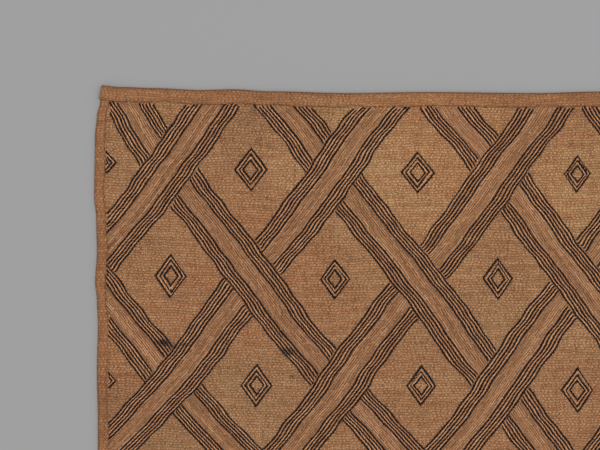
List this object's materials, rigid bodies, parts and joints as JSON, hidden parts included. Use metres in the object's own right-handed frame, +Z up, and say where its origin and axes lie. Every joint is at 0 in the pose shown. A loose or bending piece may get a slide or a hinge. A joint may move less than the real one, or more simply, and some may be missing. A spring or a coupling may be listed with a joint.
{
  "type": "raffia cloth",
  "caption": "Flat hemmed panel of tan raffia plain weave, embroidered with dark interlaced diagonal bands and small nested diamonds, laid on a surface or hung.",
  "frame": {"origin": "under the middle of the cloth, on the surface that it lies on", "axes": "+X along the top edge to the right, +Y towards the top edge, +Z up out of the embroidered face"},
  "size_m": [0.6026, 0.5159, 0.0028],
  "materials": {
    "raffia_ground": "matte plain weave of undyed raffia, unevenly browned",
    "dark_raffia": "matte blackened raffia stitches",
    "tan_raffia": "slightly glossy undyed raffia stitches"
  },
  "bodies": {
    "root": {"raffia_cloth": "raffia_ground"}
  },
  "joints": []
}
